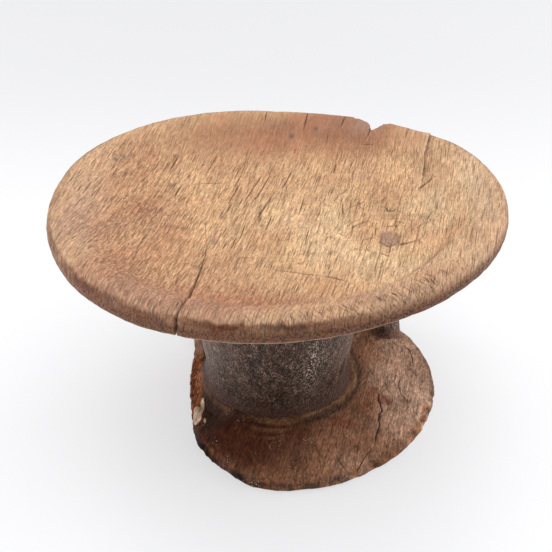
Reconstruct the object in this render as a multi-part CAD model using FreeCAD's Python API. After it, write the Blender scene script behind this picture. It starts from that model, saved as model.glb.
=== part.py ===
import FreeCAD, Part
import math
import os

os.makedirs("parts", exist_ok=True)

# A low round headrest, or stool, carved from one log. All sizes are in millimetres and degrees.
# Z is up, the underside of the base is Z = 0, and the column stands over the origin. The wood's
# grain runs nearly along Y through the seat. Angles in plan are measured from +X towards +Y.
# The members grow out of one another, so each one ends exactly on the face of the next.

# Driving dimensions.
CREST_HEIGHT = 150.0      # crest of the seat's rim above the floor, over the column
SEAT_RADIUS = 139.2       # mean radius of the seat's outer edge
BASE_RADIUS = 107.0       # radius of the round base before its left part split away
FOOT_HEIGHT = 12.0        # where the column stands on the base
COLUMN_RADIUS = 48.0      # column at its narrowest, just above its foot
STRUT_RADIUS = 9.5        # side strut at its narrowest
STRUT_REACH = 94.5        # distance from the column's axis to the strut's
STRUT_ANGLE = 33.5        # direction of the strut
SEAT_SLOPE = 1.43         # the seat leans down towards -X
SEAT_CENTRE = (-2.7, -4.9)

# The seat's outline was cut by eye: a circle with slow swells.
# Each swell is (waves in a turn, height of the swell, direction of one of its crests).
SEAT_SWELLS = ((2, 4.6, 161.4), (3, 3.6, 132.4), (4, 1.0, 126.2))

RIM_WIDTH = 9.7           # from the outer edge in to the crest
RIM_THICKNESS = 15.5      # from the crest down to the lower edge
DISH_RADIUS = 108.0       # where the dish's floor meets the rim
DISH_DEPTH = 15.0         # crest down to the middle of the dish
DISH_MIDDLE = 32.0        # the flat middle of the dish
SEAT_DEPTH = 28.5         # crest down to the flat under the seat
SEAT_FLAT = 64.0          # radius of the flat under the seat
CAPITAL_RADIUS = 61.0     # top of the column, under the seat

# The break in the far rim, measured from the seat's middle.
NOTCH_ANGLE = 57.6
NOTCH_HALF = 6.4          # half its width, in degrees
NOTCH_REACH = 15.5        # from the outer edge in to its back wall, at the top
NOTCH_FOOT = 10.5         # the same at the bottom: the wall leans outwards as it goes down

# The open split through the near rim, a thin wedge in plan.
SPLIT_MOUTH = (-56.0, -146.0)
SPLIT_TIP = (-41.5, -48.0)
SPLIT_WIDTH = 2.2

CAP_OVERLAP = 6.0         # members are made this much too long, then cut to meet their neighbours
OUTLINE_POINTS = 24
LOFT_DEGREE = 3           # keeps a skin close to its rings where they are unevenly spaced

UP = FreeCAD.Vector(0, 0, 1)
ORIGIN = FreeCAD.Vector(0, 0, 0)


def seat_outline(angle):
    """Radius of the seat's outer edge in a direction given in degrees."""
    radius = SEAT_RADIUS
    for waves, height, crest in SEAT_SWELLS:
        radius += height * math.cos(math.radians(waves * (angle - crest)))
    return radius


def closed_wire(points):
    curve = Part.BSplineCurve()
    curve.interpolate(Points=points, PeriodicFlag=True)
    return Part.Wire([curve.toShape()])


def seat_ring(radius, drop):
    """The seat's outline shrunk to a mean radius, at a depth below the rim's crest."""
    points = []
    for step in range(OUTLINE_POINTS):
        angle = 360.0 * step / OUTLINE_POINTS
        reach = seat_outline(angle) * radius / SEAT_RADIUS
        x = SEAT_CENTRE[0] + reach * math.cos(math.radians(angle))
        y = SEAT_CENTRE[1] + reach * math.sin(math.radians(angle))
        points.append(FreeCAD.Vector(x, y, CREST_HEIGHT - drop))
    return closed_wire(points)


def loft(wires):
    return Part.makeLoft(wires, True, False, False, LOFT_DEGREE)


def revolved(outline):
    """A solid turned about Z from a closed list of (radius, height) points and smooth runs."""
    edges = []
    start = outline[0][0]
    for run in outline:
        points = [FreeCAD.Vector(radius, 0, height) for radius, height in run]
        if start != run[0]:
            edges.append(Part.makeLine(FreeCAD.Vector(start[0], 0, start[1]), points[0]))
        if len(points) > 2:
            curve = Part.BSplineCurve()
            curve.interpolate(points)
            edges.append(curve.toShape())
        elif len(points) == 2:
            edges.append(Part.makeLine(points[0], points[1]))
        start = run[-1]
    first = outline[0][0]
    edges.append(Part.makeLine(FreeCAD.Vector(start[0], 0, start[1]), FreeCAD.Vector(first[0], 0, first[1])))
    face = Part.Face(Part.Wire(edges))
    return face.revolve(ORIGIN, UP, 360)


def prism(corners, low, high):
    """An upright prism over a plan outline given as (x, y) corners."""
    points = [FreeCAD.Vector(x, y, low) for x, y in corners]
    points.append(points[0])
    return Part.Face(Part.makePolygon(points)).extrude(FreeCAD.Vector(0, 0, high - low))


def rings_loft(rings):
    """A solid skinned through the seat's outline at each (radius, depth below the crest)."""
    return loft([seat_ring(radius, drop) for radius, drop in rings])


def seat_body():
    """The outer skin from the flat underneath, round the lower edge and up to the crest."""
    edge = SEAT_RADIUS
    lower_edge = (edge - 5.5, RIM_THICKNESS)
    underside = rings_loft((
        (SEAT_FLAT, SEAT_DEPTH),
        (90.0, 24.6),
        (115.0, 20.2),
        lower_edge,
    ))
    rim = rings_loft((
        lower_edge,
        (edge - 1.2, 12.8),
        (edge, 9.0),
        (edge - 0.3, 5.8),
        (edge - 1.6, 2.8),
        (edge - 4.7, 0.9),
        (edge - RIM_WIDTH, 0.0),
    ))
    return underside.fuse(rim)


def dish_hollow():
    """The shallow dish, with a crease where its floor meets the rim."""
    crest = SEAT_RADIUS - RIM_WIDTH
    crease = (DISH_RADIUS, 9.2)
    floor = rings_loft((
        (DISH_MIDDLE, DISH_DEPTH),
        (58.0, 14.2),
        (84.0, 12.6),
        crease,
    ))
    shoulder = rings_loft((
        crease,
        (DISH_RADIUS + 4.0, 7.0),
        (DISH_RADIUS + 10.0, 3.4),
        (crest - 5.0, 0.9),
        (crest, -0.4),
        (crest + 6.0, -3.0),
    ))
    return floor.fuse(shoulder)


def rim_notch():
    """A piece broken out of the far rim, leaning outwards as it goes down."""
    outline = seat_outline(NOTCH_ANGLE)
    wires = []
    for height, reach in ((CREST_HEIGHT - SEAT_DEPTH, NOTCH_FOOT), (CREST_HEIGHT + CAP_OVERLAP, NOTCH_REACH)):
        inner = outline - reach
        outer = outline + CAP_OVERLAP
        points = []
        for radius, side in ((inner, -1), (inner, 1), (outer, 1), (outer, -1)):
            angle = math.radians(NOTCH_ANGLE + side * NOTCH_HALF)
            x = SEAT_CENTRE[0] + radius * math.cos(angle)
            y = SEAT_CENTRE[1] + radius * math.sin(angle)
            points.append(FreeCAD.Vector(x, y, height))
        wires.append(Part.makePolygon(points + [points[0]]))
    return Part.makeLoft(wires, True, True)


def drying_split():
    """The open split through the near rim, a thin wedge that closes towards the middle."""
    corners = (
        (SPLIT_MOUTH[0] - SPLIT_WIDTH / 2, SPLIT_MOUTH[1]),
        (SPLIT_MOUTH[0] + SPLIT_WIDTH / 2, SPLIT_MOUTH[1]),
        SPLIT_TIP,
    )
    return prism(corners, CREST_HEIGHT - SEAT_DEPTH, CREST_HEIGHT + CAP_OVERLAP)


def make_seat():
    seat = seat_body().cut(dish_hollow())
    seat = seat.cut(rim_notch())
    seat = seat.cut(drying_split())
    seat.rotate(FreeCAD.Vector(0, 0, CREST_HEIGHT), FreeCAD.Vector(0, 1, 0), -SEAT_SLOPE)
    return seat


def split_edge():
    """Plan outline of what is gone from the base: the left part and a chip beside it."""
    beyond = BASE_RADIUS * 1.5
    return (
        (3.0, -BASE_RADIUS),
        (-8.0, -105.6),
        (-21.0, -99.6),
        (-31.0, -90.4),
        (-46.0, -74.0),
        (-53.0, -57.0),
        (-56.5, -35.0),
        (-59.0, -8.0),
        (-60.0, 16.0),
        (-58.5, 36.0),
        (-61.0, 58.0),
        (-59.0, BASE_RADIUS),
        (-beyond, beyond),
        (-beyond, -beyond),
        (3.0, -beyond),
    )


def make_base():
    """A thin-edged round base with a low swell and a collar round the column's foot."""
    top = (
        (COLUMN_RADIUS + 1.5, FOOT_HEIGHT),
        (COLUMN_RADIUS + 4.5, FOOT_HEIGHT - 0.8),
        (COLUMN_RADIUS + 8.0, FOOT_HEIGHT - 2.4),
        (66.0, 9.5),
        (82.0, 8.6),
        (95.0, 7.0),
        (BASE_RADIUS - 3.6, 5.4),
    )
    edge = (
        (BASE_RADIUS - 3.6, 5.4),
        (BASE_RADIUS - 1.5, 4.9),
        (BASE_RADIUS - 0.4, 3.6),
        (BASE_RADIUS, 1.9),
        (BASE_RADIUS - 0.3, 0.7),
        (BASE_RADIUS - 1.2, 0.0),
    )
    base = revolved((((0.0, 0.0), (0.0, FOOT_HEIGHT)), top, edge))
    return base.cut(prism(split_edge(), -1.0, FOOT_HEIGHT + 1.0))


def make_column(seat):
    """A heavy round column that widens steadily up to the seat."""
    under_seat = CREST_HEIGHT - SEAT_DEPTH
    side = (
        (COLUMN_RADIUS + 1.5, FOOT_HEIGHT),
        (COLUMN_RADIUS, FOOT_HEIGHT + 9.0),
        (COLUMN_RADIUS + 2.5, 40.0),
        (COLUMN_RADIUS + 5.0, 62.0),
        (COLUMN_RADIUS + 7.8, 85.0),
        (COLUMN_RADIUS + 10.5, 105.0),
        (CAPITAL_RADIUS, under_seat),
        (CAPITAL_RADIUS + 1.5, under_seat + CAP_OVERLAP),
    )
    column = revolved((((0.0, under_seat + CAP_OVERLAP), (0.0, FOOT_HEIGHT)), side))
    return column.cut(seat)


def strut_ring(height, radial, tangential, bow):
    """An oval section of the strut, longer across than along the direction of the column."""
    angle = math.radians(STRUT_ANGLE)
    reach = STRUT_REACH + bow
    centre = FreeCAD.Vector(reach * math.cos(angle), reach * math.sin(angle), height)
    outward = FreeCAD.Vector(math.cos(angle), math.sin(angle), 0)
    around = FreeCAD.Vector(-math.sin(angle), math.cos(angle), 0)
    points = []
    for step in range(OUTLINE_POINTS):
        turn = 2 * math.pi * step / OUTLINE_POINTS
        points.append(centre + outward * (radial * math.cos(turn)) + around * (tangential * math.sin(turn)))
    return closed_wire(points)


def make_strut(seat, base):
    """The one side strut that is left, bowed out a little, from the base's edge to the seat."""
    narrow = STRUT_RADIUS
    top = CREST_HEIGHT - SEAT_DEPTH
    rings = (
        (3.0, narrow + 2.0, narrow + 3.5, -2.5),
        (9.0, narrow + 0.6, narrow + 1.6, -1.0),
        (22.0, narrow - 0.2, narrow + 0.3, 0.0),
        (50.0, narrow - 0.5, narrow, 2.0),
        (80.0, narrow, narrow + 0.5, 2.0),
        (105.0, narrow + 1.5, narrow + 2.0, 0.5),
        (top, narrow + 4.5, narrow + 5.5, -1.5),
        (top + 2 * CAP_OVERLAP, narrow + 7.5, narrow + 9.0, -3.0),
    )
    strut = loft([strut_ring(*ring) for ring in rings])
    return strut.cut(seat).cut(base)


def export(name, shape):
    solid = shape.Solids[0]
    solid.exportStep("parts/" + name + ".step")
    box = solid.optimalBoundingBox()
    print(name, "solids", len(shape.Solids), "valid", solid.isValid(), "volume", round(solid.Volume))
    print("  x", round(box.XMin, 2), round(box.XMax, 2), "y", round(box.YMin, 2), round(box.YMax, 2),
          "z", round(box.ZMin, 2), round(box.ZMax, 2))


seat = make_seat()
base = make_base()
column = make_column(seat)
strut = make_strut(seat, base)
export("seat", seat)
export("column", column)
export("side_strut", strut)
export("base", base)
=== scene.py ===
"""The looks of a carved round headrest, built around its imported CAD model.

Lengths are in millimetres in the CAD model's frame, and become metres as each mesh is made.
Angles in plan are in degrees from +X towards +Y. The front is -Y.
"""
import math
from itertools import product

import bpy
import numpy as np
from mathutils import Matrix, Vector
from mathutils.geometry import delaunay_2d_cdt


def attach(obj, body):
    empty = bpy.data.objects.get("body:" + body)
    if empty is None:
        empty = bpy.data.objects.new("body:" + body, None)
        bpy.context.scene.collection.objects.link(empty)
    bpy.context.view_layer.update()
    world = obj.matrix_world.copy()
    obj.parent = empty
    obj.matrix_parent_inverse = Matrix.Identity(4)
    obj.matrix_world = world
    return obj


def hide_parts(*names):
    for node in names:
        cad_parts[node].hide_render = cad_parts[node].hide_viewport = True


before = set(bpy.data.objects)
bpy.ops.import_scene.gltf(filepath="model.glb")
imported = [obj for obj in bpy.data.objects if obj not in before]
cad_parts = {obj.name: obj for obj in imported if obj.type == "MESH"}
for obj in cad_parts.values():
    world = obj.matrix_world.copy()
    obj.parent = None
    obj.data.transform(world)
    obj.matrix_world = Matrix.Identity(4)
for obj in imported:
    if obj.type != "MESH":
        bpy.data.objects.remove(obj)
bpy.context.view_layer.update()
MM = 0.001


# ---------------------------------------------------------------- sizes

# The carving's main sizes, as in the CAD model.
CREST_HEIGHT = 150.0
SEAT_RADIUS = 139.2
SEAT_CENTRE = np.array((-2.7, -4.9))
SEAT_SWELLS = ((2, 4.6, 161.4), (3, 3.6, 132.4), (4, 1.0, 126.2))
SEAT_SLOPE = math.tan(math.radians(1.43))
SEAT_DEPTH = 28.5         # from the crest down to the flat under the seat
CREST_RADIUS = 129.5      # the rim's highest line, about the seat's middle
BASE_RADIUS = 107.0
FOOT_HEIGHT = 12.0
COLUMN_RADIUS = 48.0
STRUT_ANGLE = 33.5
STRUT_REACH = 94.5
NOTCH_ANGLE = 57.6        # direction of the break in the far rim
NOTCH_HALF = 6.4          # half its width, in degrees

# Sizes that only the looks have.
NOTCH_REACH = 13.5        # how far the ragged wall of the break reaches in from the outer edge
STRUT_HEAD = 100.0        # where the strut begins to spread into the seat
GRAIN_TURN = 13.0         # the grain runs this far clockwise of +Y, seen from above
TOUCH = 1.5               # a member runs this far into the next, so that no gap shows
RING_COUNT = 720          # points round a sheet's outer edge
FINE_SPACING = 1.15       # between the points of a sheet in view
SEAT_UNDER_SPACING, BASE_UNDER_SPACING = 2.6, 4.0
STROKE_SPACING = 0.9      # between the points along a stroke
STROKE_MARGIN = 0.3       # a sheet's own points stay this far clear of a stroke
SEED_GAP = 0.18           # the points of two strokes stay this far apart
COLUMN_TURNS, COLUMN_ROWS = 400, 130
STRUT_TURNS, STRUT_ROWS = 120, 110

RIM_CROSS = (
    # radius, then depth below the crest where the rim is full and where it is gentle
    (0.0, 15.0, 15.0), (32.0, 15.0, 14.8), (58.0, 14.5, 13.7), (84.0, 13.6, 11.4), (98.0, 12.6, 9.2),
    (105.0, 11.9, 7.6), (108.5, 10.6, 6.7), (112.0, 7.0, 5.6), (117.0, 3.3, 4.0), (122.0, 1.2, 2.3),
    (126.0, 0.4, 1.0), (CREST_RADIUS, 0.0, 0.2), (134.5, 0.9, 0.9), (137.6, 2.8, 2.8), (138.9, 5.8, 5.8),
    (SEAT_RADIUS, 9.0, 9.0), (138.0, 12.8, 12.8), (133.7, 15.5, 15.5),
)
UNDER_CROSS = ((0.0, SEAT_DEPTH), (64.0, SEAT_DEPTH), (90.0, 24.6), (115.0, 20.2), RIM_CROSS[-1][:2])
CREASE_INSET, CREASE_HALF = 22.5, 5.6     # from the crest in to the crease, and its half width
SPLIT_STEP = 1.2          # how far one side of the split in the right rear has lifted
RAISED_SPLIT = ((109, 92), (105, 80), (101, 64), (98, 53), (96, 40), (93, 24), (90, 10))
KNOT = np.array((67.0, -35.5))
KNOT_HALF = np.array((5.8, 9.2))
COLUMN_SIDE = (
    # height, radius
    (FOOT_HEIGHT, 51.0), (14.5, 49.6), (18.0, 48.3), (24.0, COLUMN_RADIUS), (40.0, 50.5), (62.0, 53.0),
    (85.0, 55.8), (105.0, 58.5), (116.0, 60.6), (121.5, 62.6), (124.0, 64.0),
)
STRUT_RINGS = (
    # height, half width along the reach, half width across it, bow outwards
    (4.0, 13.5, 15.0, -1.5), (7.5, 11.0, 12.5, -1.0), (12.0, 9.9, 10.9, -0.6), (22.0, 9.3, 9.8, 0.0),
    (50.0, 9.0, 9.5, 2.0), (80.0, 9.5, 10.0, 2.0), (105.0, 11.0, 11.5, 0.5), (118.0, 13.2, 14.0, -0.8),
    (126.0, 16.0, 17.5, -2.0), (131.0, 19.0, 21.0, -2.5),
)
SPLIT_EDGE = (
    # the edge that is left of the base where its left part has gone, from the front round to the back
    (3.0, -106.9), (-8.0, -105.6), (-15.0, -103.2), (-21.0, -99.6), (-26.0, -95.4), (-31.0, -90.4),
    (-38.0, -84.0), (-46.0, -74.0), (-50.5, -65.0), (-53.0, -57.0), (-55.5, -46.0), (-56.5, -35.0),
    (-58.0, -20.0), (-59.0, -8.0), (-59.6, 4.0), (-60.0, 16.0), (-58.5, 30.0), (-59.0, 42.0), (-61.0, 56.0),
    (-60.0, 70.0), (-59.0, 89.2),
)
BASE_EDGE = (
    # how far in from the outline, and the share of the edge's height, going over the edge
    (3.6, 1.0), (1.5, 0.9), (0.4, 0.66), (0.0, 0.36), (0.2, 0.12), (1.2, 0.0),
)
BASE_SWELL = (
    # radius, then height of the base's top
    (0.0, FOOT_HEIGHT), (50.5, FOOT_HEIGHT), (52.5, 11.6), (54.5, 10.2), (57.0, 9.5), (61.0, 9.7),
    (68.0, 9.6), (82.0, 8.6), (95.0, 7.0), (103.5, 5.4), (BASE_RADIUS, 4.8),
)
HIDDEN_RUN = 40.0         # the column hides the base's top within this radius
BASE_TOP_RUN = 103.4
BASE_END_RUN = 113.0
UNDER_INSET = 4.0         # the base's underside stops this far inside its outline

# Stains, in plan: x, y, half length along X, half length along Y, strength. The seat's and the base's tones
# hold painted light and shade as well.
# On the seat these tones are stains and painted light together: the near right of the top lighter, the far
# side and the left darker.
SEAT_TONES = (
    (30, -25, 22, 62, 0.75), (-5, 25, 40, 36, 0.25), (95, 5, 20, 62, 0.45), (60, -70, 30, 26, 0.4),
    (62, 22, 13, 34, -0.4), (5, 96, 72, 26, -0.9), (56, 104, 26, 13, -0.9), (-98, -30, 30, 60, -0.72),
    (-40, -108, 60, 28, -0.9), (66, 76, 26, 16, -0.35), (-95, 45, 22, 30, -0.35), (-62, -20, 16, 34, -0.3),
    (-30, -50, 20, 20, -0.3), (20, -112, 50, 14, -0.6), (-70, 62, 26, 18, -0.15), (-84, 8, 9, 12, -0.35),
    (-30, 70, 30, 14, -0.15), (100, -62, 24, 22, 0.25), (122, 0, 14, 60, 0.5), (-70, -90, 50, 26, -0.3),
)
SEAT_GREYS = (
    (-38.5, -33, 2.6, 3.4, 0.9), (-5, -46, 2.4, 2.6, 0.5), (102, 4, 4.0, 9.0, 0.55),
    (104, 20, 3.5, 5.0, 0.35), (40, -108, 26, 7, 0.35), (82, -76, 16, 8, 0.35), (-120, -5, 16, 60, 0.6),
    (126, 5, 10, 50, 0.4), (-60, -104, 30, 12, 0.2), (-107, 57, 1.8, 3.0, 0.6), (-102, 63, 1.6, 2.2, 0.6),
    (30, 98, 3.0, 3.0, 0.5), (11, 96, 3.2, 3.6, 0.8), (-40, -58, 6, 10, 0.15), (62, 95, 9, 6, 0.8),
)
DARK_SPOTS = (
    (11, 95.5, 1.8, 2.6, 1.3), (28, 99, 1.6, 2.2, 1.1), (-9, -15, 1.2, 1.6, 1.2), (-107, 58, 1.6, 2.8, 1.0),
    (-102, 63, 1.5, 2.8, 0.9), (-38, -33, 2.2, 3.2, 0.75), (70, 20, 5.0, 5.0, 0.15),
)
# On the base these tones are stains and painted light and shade together: lighter at the right, and darker
# with painted shade at the left front near the column, under the seat.
BASE_TONES = (
    (90, 5, 28, 60, 0.9), (44, -84, 34, 18, 0.3), (-34, -70, 42, 36, -1.1), (86, -50, 26, 26, 0.5),
    (6, -62, 30, 12, -0.45), (8, -88, 34, 16, -0.25), (56, -40, 10, 26, -0.2), (66, 30, 10, 24, -0.3),
)
RED_PATCHES = (
    (44, -51, 9, 8, 0.8), (72, -30, 6, 7, 0.9), (56, -38, 6, 6, 0.7), (64, -22, 5, 8, 0.6),
    (85, -30, 4, 5, 0.6),
)

# Cracks and scratches on the seat, in plan.
FAINT_SPLIT = ((-45, -2), (-43.5, -20), (-42, -38))
OPEN_SPLIT = ((-42, -38), (-42, -50), (-43.5, -62), (-45.5, -79), (-47.5, -93), (-48.6, -106), (-50, -120))
SPLIT_WIDTH, SPLIT_DEPTH = 2.3, 6.0
SPLIT_IN_RIM = ((5, -112.0), (12, -111.4))      # distance outside the crest, and direction
SPLIT_END = -112.2
SPLIT_BRANCH = ((-50.5, -112), (-52.5, -117), (-53, -124))
CRACK_WIDTH, CRACK_DEPTH = 1.15, 0.9
GRAIN_CRACKS = (
    ((-24, 38), (-31, 12)), ((-9, 50), (-15, 34), (-21, 14)), ((11, 56), (7, 42), (4, 30)),
    ((-66, 75), (-71, 58)), ((-40, 78), (-47, 52)), ((-28, 14), (-32, 2)), ((-4, 50), (-14, 18)),
    ((-2, 26), (-9, 4), (-12, -8)), ((-3, -4), (-7, -22)), ((-62, 38), (-66, 22)), ((18, 20), (14, -2)),
    ((40, 60), (38, 48)), ((-19, -10), (-22, -30)), ((20, -20), (17, -38)), ((42, 10), (41, -4)),
)
FAR_CRACKS = (
    # width, depth, how dark, and the places along it
    (0.6, 1.0, 0.8, ((-8, 108), (-7, 116), (-6, 124))), (1.1, 1.8, 1.0, ((19, 99), (21, 108), (23.5, 121))),
    (1.2, 2.2, 1.0, ((45, 97), (47, 103), (50, 112))), (0.8, 1.2, 1.0, ((62, 83), (64, 88), (66, 95))),
)
SCRATCH_DEPTH = 0.8
SCRATCHES = (
    # width, and the places along it
    (2.0, ((71, -45), (77, -42.5), (84, -40))), (1.4, ((45, -22), (50, -17), (56, -14))),
    (1.4, ((-3, -67), (9, -70), (20, -74), (26, -75.5))), (2.0, ((26, -75.5), (33, -78), (39, -82))),
    (1.8, ((102, 32), (96, 26), (90, 19))), (2.2, ((68, 2), (69.5, -2), (72, -3.5), (75, -1))),
    (1.2, ((37, 20), (43, 23), (47, 29))), (1.2, ((58, -34), (52, -36))), (1.6, ((66, -22), (75, -21))),
    (1.0, ((-57, 38), (-48, 41), (-36, 40))), (1.0, ((-22, -52), (-14, -53))), (1.2, ((96, -8), (92, -16))),
    (1.4, ((60, -52), (66, -57))), (1.0, ((47, 4), (55, 10))), (1.0, ((70, 14), (62, 6))),
)
RIM_TICKS = (
    # direction, distance outside the crest, length, and the way it leans
    (-49.5, -6, 11, -48), (-47.5, -5, 10, -52), (-51.5, -5, 9, -45), (-48.5, 0, 8, -60), (-56, -3, 8, -50),
    (-60, -2, 7, -52), (-64, -3, 8, -55), (-44, -2, 7, -40), (-73, -3, 8, -58),
)
TICK_SHARE = 0.75         # how much of its length a tick has kept
TICK_SIZE = 1.2           # its width, and its depth

# How many marks are scattered, and how far from the seat's middle the ones on the dish may start.
FINE_CRACKS, FINE_REACH = 130, 104
SMALL_CUTS, CUT_REACH = 90, 106
GOUGES = 130
COLUMN_SCRATCHES = 260
BASE_FINE_CRACKS = 120

# Marks on the column and the base.
COLUMN_CUTS = (
    # direction, height, length, the way it leans, width, depth
    (-122, 47, 9, -60, 1.0, 0.7), (-126, 40, 8, -58, 0.9, 0.6), (-118, 52, 6, -64, 0.8, 0.5),
    (-138, 62, 12, -64, 1.0, 0.6), (-132, 58, 10, -70, 0.9, 0.5), (-146, 55, 9, -62, 0.9, 0.5),
    (-108, 44, 8, -14, 1.8, 1.0), (-106, 42.5, 6, -20, 1.2, 0.8), (-100, 38, 10, -38, 0.8, 0.4),
    (-84, 50, 7, -30, 0.7, 0.4),
)
BASE_CRACKS = (
    # width, depth, and the places along it
    (1.3, 2.0, ((67, -23), (67, -31), (68.5, -40), (66, -47), (66, -54), (63, -63), (62, -70), (60, -75))),
    (0.9, 1.4, ((60, -75), (55.5, -81), (50.5, -90), (47, -96))),
    (0.8, 1.1, ((36.5, -82), (38, -87), (43.5, -96))),
    (1.0, 1.3, ((81, 37), (83, 34.5), (86, 31.5), (90, 32), (94, 27), (94.5, 16), (93, 9))),
    (0.7, 0.8, ((43, -61), (46, -55), (47.3, -49))), (0.6, 0.6, ((90, -40), (95, -47))),
    (0.6, 0.5, ((82, -22), (86, -30), (85, -36))),
)
EDGE_BITES = (
    # x, y, size, depth
    (-9, -104, 4.0, 1.8), (-30, -91, 3.0, 1.2), (-22, -98, 3.5, 1.4), (-47, -72, 3.0, 2.0),
    (59, -88, 4.5, 1.8), (-43, -78, 3.0, 2.0), (-38, -83, 3.0, 1.8), (48, -94, 3.0, 1.4),
    (100, -36, 5.0, 2.0), (96, -46, 4.0, 1.6), (105, -20, 3.0, 1.2), (12, -106, 4.0, 1.2),
    (-15, 105, 6.0, 2.0), (60, 88, 5.0, 2.0),
)

# Fresh wood on the base's break: x, y, half length along X, half length along Y.
FRESH_PLACES = ((-53.2, -38, 2.6, 8.5), (-50.2, -29, 1.3, 6.0), (-48.0, -43, 0.8, 1.6))

# The room. The camera's numbers are in metres.
FLOOR_HALF = 6.0
FLOOR_GREY = (0.42, 0.42, 0.422, 1.0)
FLOOR_OVAL = (1.0, 0.45, 0.0)             # how the oval of painted shadow round the object is squeezed
FLOOR_SHIFT = (-0.02, 0.0135, 0.0)        # and moved
FLOOR_NEAR = (0.05, 0.16, 0.505, 0.578)   # the board's glow, from the middle of the oval outwards
FLOOR_FAR = (0.0, 0.6, 1.0, 0.67)         # how much of it is left, from the object backwards
TENT_GLOW = (0.0, 0.8, 0.12, 0.92)        # the tent's brightness, from the horizon upwards
LAMPS = (
    # name, kind, place in metres, size or angle, power
    ("overhead lamp", "SUN", (0.35, 0.45, 1.5), math.radians(75), 0.6),
    ("left lamp", "AREA", (-1.2, 0.25, 0.5), 1.0, 6.0),
    ("right lamp", "AREA", (1.2, 0.35, 0.55), 1.0, 8.0),
)
LAMP_TARGET = (0, 0, 0.08)
CAMERA_PLACE = (-0.0004, -0.6010, 0.4753)
CAMERA_TARGET = (-0.0004, 0.0, 0.088)
CAMERA_LENS = 71.74
CAMERA_ROLL = math.radians(0.28)


# ---------------------------------------------------------------- noise and curves

def lattice(cells, seed):
    """A repeatable value from 0 to 1 for each row of three whole numbers."""
    mixed = np.full(len(cells), (seed * 2654435761) % 2**32, np.uint32)
    for axis, factor in enumerate((73856093, 19349663, 83492791)):
        mixed ^= cells[:, axis].astype(np.int64).astype(np.uint32) * np.uint32(factor)
        mixed ^= mixed >> np.uint32(15)
        mixed *= np.uint32(2246822519)
    mixed ^= mixed >> np.uint32(13)
    return (mixed & np.uint32(0xFFFFFF)) / float(0xFFFFFF)


def noise(points, size, seed):
    """Smooth noise from -1 to 1, with bumps about size wide; size is one number or one per axis."""
    scaled = points / size
    cell = np.floor(scaled)
    share = scaled - cell
    share = share * share * (3 - 2 * share)
    total = np.zeros(len(points))
    for corner in product((0, 1), repeat=3):
        weight = np.ones(len(points))
        for axis in range(3):
            weight *= share[:, axis] if corner[axis] else 1 - share[:, axis]
        total += weight * lattice(cell + corner, seed)
    return total * 2 - 1


def rough(points, size, seed, octaves=3):
    """Noise at several sizes, each half the one before."""
    total = np.zeros(len(points))
    for octave in range(octaves):
        total += noise(points, np.asarray(size) / 2**octave, seed + octave) / 2**octave
    return total


def step(low, high, value):
    """0 below low, 1 above high, and smooth between them."""
    share = np.clip((value - low) / (high - low), 0, 1)
    return share * share * (3 - 2 * share)


def bump(value, centre, half_width):
    """1 at the centre, falling smoothly to 0 at half_width either side."""
    return 1 - step(0, half_width, np.abs(value - centre))


def angle_gap(angle, centre):
    """Signed difference of two directions, in degrees from -180 to 180."""
    return (angle - centre + 180) % 360 - 180


def smooth_line(knots, samples=400):
    """Points along a smooth curve through the knots."""
    knots = np.array(knots, float)
    ends = np.vstack((2 * knots[0] - knots[1], knots, 2 * knots[-1] - knots[-2]))
    at = np.linspace(0, len(knots) - 1, samples)
    index = np.minimum(at.astype(int), len(knots) - 2)
    t = (at - index)[:, None]
    a, b, c, d = (ends[index + shift] for shift in range(4))
    return 0.5 * (2 * b + (c - a) * t + (2 * a - 5 * b + 4 * c - d) * t**2 + (3 * b - a - 3 * c + d) * t**3)


def follow(curve, at):
    """The second column of a curve, where its first column is at."""
    curve = np.asarray(curve)
    return np.interp(at, curve[:, 0], curve[:, 1])


def polar(points):
    """Radius and direction of each place in plan."""
    return np.hypot(points[:, 0], points[:, 1]), np.degrees(np.arctan2(points[:, 1], points[:, 0]))


def cartesian(radius, angle):
    return np.stack((radius * np.cos(np.radians(angle)), radius * np.sin(np.radians(angle))), -1)


# The frame of the grain: its second axis runs along the fibres.
TURN = math.radians(GRAIN_TURN)
GRAIN_FRAME = np.array((
    (math.cos(TURN), math.sin(TURN), 0.0),
    (-math.sin(TURN), math.cos(TURN), 0.0),
    (0.0, 0.0, 1.0),
))


def adze_marks(places, size, seed):
    """Shallow scoops left by the adze, with soft ridges where they meet."""
    nearest = np.full(len(places), 9.0)
    cell = np.floor(places / size)
    for shift in product((-1, 0, 1), repeat=3):
        other = cell + shift
        centre = np.stack([lattice(other, seed + axis) for axis in range(3)], -1) + other
        nearest = np.minimum(nearest, np.linalg.norm(places / size - centre, axis=1))
    return np.clip(nearest, 0, 1) ** 2 - 0.3


def patches(places, spots):
    """Soft stains summed."""
    total = np.zeros(len(places))
    for x, y, wide, deep, strength in spots:
        total += strength * np.exp(-((places[:, 0] - x) / wide) ** 2 - ((places[:, 1] - y) / deep) ** 2)
    return total


# ---------------------------------------------------------------- strokes: cracks, cuts and gouges

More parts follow.
